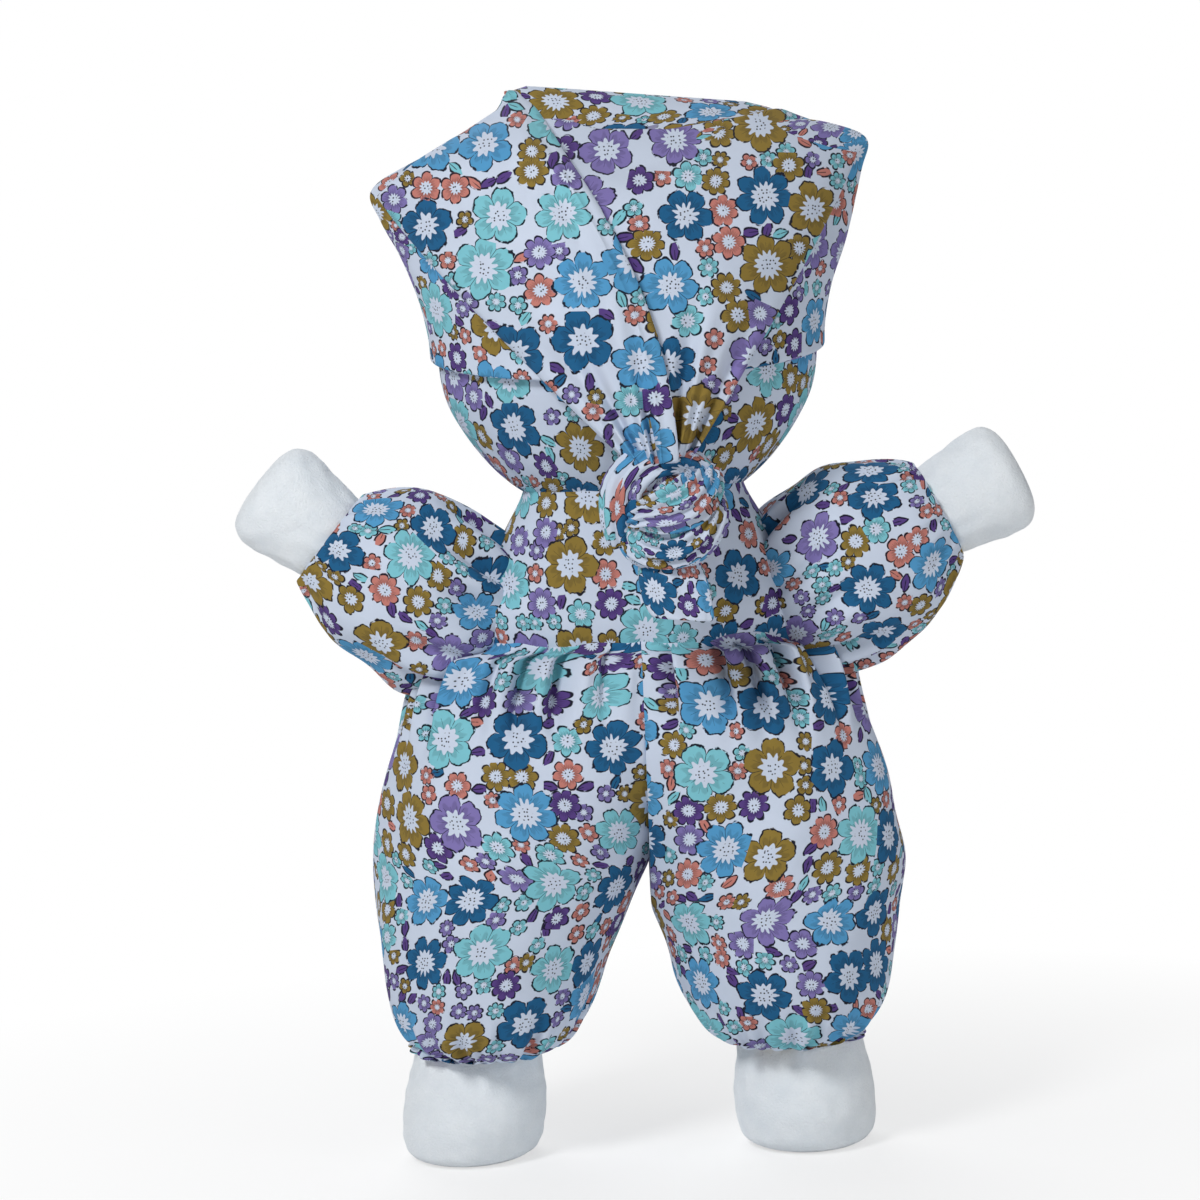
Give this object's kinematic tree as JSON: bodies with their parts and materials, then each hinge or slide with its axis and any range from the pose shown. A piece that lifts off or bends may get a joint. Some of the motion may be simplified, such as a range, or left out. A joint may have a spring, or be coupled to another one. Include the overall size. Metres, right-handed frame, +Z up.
{
  "type": "elf comforter doll",
  "caption": "Soft stuffed elf doll of floral cotton with puffed sleeves, ballooning trousers, velour hands and feet and a pointed cap whose folded tip is knotted at the nape.",
  "frame": {"origin": "centre of the outline seen from above, on the floor under the soles", "axes": "+Z up, the face toward -Y, +X to the doll's left"},
  "size_m": [0.2052, 0.0944, 0.2785],
  "materials": {
    "printed_cotton": "matte",
    "white_velour": "matte",
    "fibre_filling": "matte",
    "dark_floss": "satin",
    "rose_floss": "satin"
  },
  "bodies": {
    "torso": {"torso_stuffing": "fibre_filling", "bodice_front": "printed_cotton", "bodice_left_back": "printed_cotton", "bodice_right_back": "printed_cotton"},
    "head": {"head_stuffing": "fibre_filling", "face_panel": "white_velour", "head_back_panel": "printed_cotton", "left_eye": "dark_floss", "right_eye": "dark_floss", "mouth": "rose_floss", "cap_crown": "printed_cotton"},
    "cap_tail": {"cap_flap": "printed_cotton", "cap_tail_knot": "printed_cotton", "cap_tail_end": "printed_cotton"},
    "left_arm": {"left_sleeve": "printed_cotton", "left_arm_stuffing": "fibre_filling"},
    "left_hand": {"left_hand": "white_velour", "left_hand_stuffing": "fibre_filling"},
    "left_leg": {"left_trouser_leg": "printed_cotton", "left_leg_stuffing": "fibre_filling"},
    "left_foot": {"left_foot": "white_velour", "left_foot_stuffing": "fibre_filling"},
    "right_arm": {"right_sleeve": "printed_cotton", "right_arm_stuffing": "fibre_filling"},
    "right_hand": {"right_hand": "white_velour", "right_hand_stuffing": "fibre_filling"},
    "right_leg": {"right_trouser_leg": "printed_cotton", "right_leg_stuffing": "fibre_filling"},
    "right_foot": {"right_foot": "white_velour", "right_foot_stuffing": "fibre_filling"}
  },
  "joints": [
    {"name": "neck_nod", "type": "hinge", "parent": "torso", "child": "head", "pos_m": [0.00055, -0.00719, 0.173], "axis": [1, 0, 0], "range_deg": [-6, 25]},
    {"name": "cap_tail_lift", "type": "hinge", "parent": "head", "child": "cap_tail", "pos_m": [0.00055, -0.00919, 0.26551], "axis": [1, 0, 0], "range_deg": [0, 70]},
    {"name": "left_shoulder_swing", "type": "hinge", "parent": "torso", "child": "left_arm", "pos_m": [0.04515, -0.00719, 0.14536], "axis": [-0.4819, 0, 0.8762], "range_deg": [-40, 20]},
    {"name": "left_wrist_turn", "type": "hinge", "parent": "left_arm", "child": "left_hand", "pos_m": [0.0802, -0.00719, 0.16464], "axis": [0, -1, 0], "range_deg": [-18, 18]},
    {"name": "left_hip_swing", "type": "hinge", "parent": "torso", "child": "left_leg", "pos_m": [0.00055, -0.00719, 0.143], "axis": [-1, 0, 0], "range_deg": [-12, 60]},
    {"name": "left_ankle_turn", "type": "hinge", "parent": "left_leg", "child": "left_foot", "pos_m": [0.04716, -0.00719, 0.031], "axis": [1, 0, 0], "range_deg": [-15, 15]},
    {"name": "right_shoulder_swing", "type": "hinge", "parent": "torso", "child": "right_arm", "pos_m": [-0.04406, -0.00719, 0.14536], "axis": [-0.4819, 0, -0.8762], "range_deg": [-40, 20]},
    {"name": "right_wrist_turn", "type": "hinge", "parent": "right_arm", "child": "right_hand", "pos_m": [-0.07911, -0.00719, 0.16464], "axis": [0, 1, 0], "range_deg": [-18, 18]},
    {"name": "right_hip_swing", "type": "hinge", "parent": "torso", "child": "right_leg", "pos_m": [0.00055, -0.00719, 0.143], "axis": [-1, 0, 0], "range_deg": [-12, 60]},
    {"name": "right_ankle_turn", "type": "hinge", "parent": "right_leg", "child": "right_foot", "pos_m": [-0.03684, -0.00719, 0.031], "axis": [1, 0, 0], "range_deg": [-15, 15]}
  ]
}
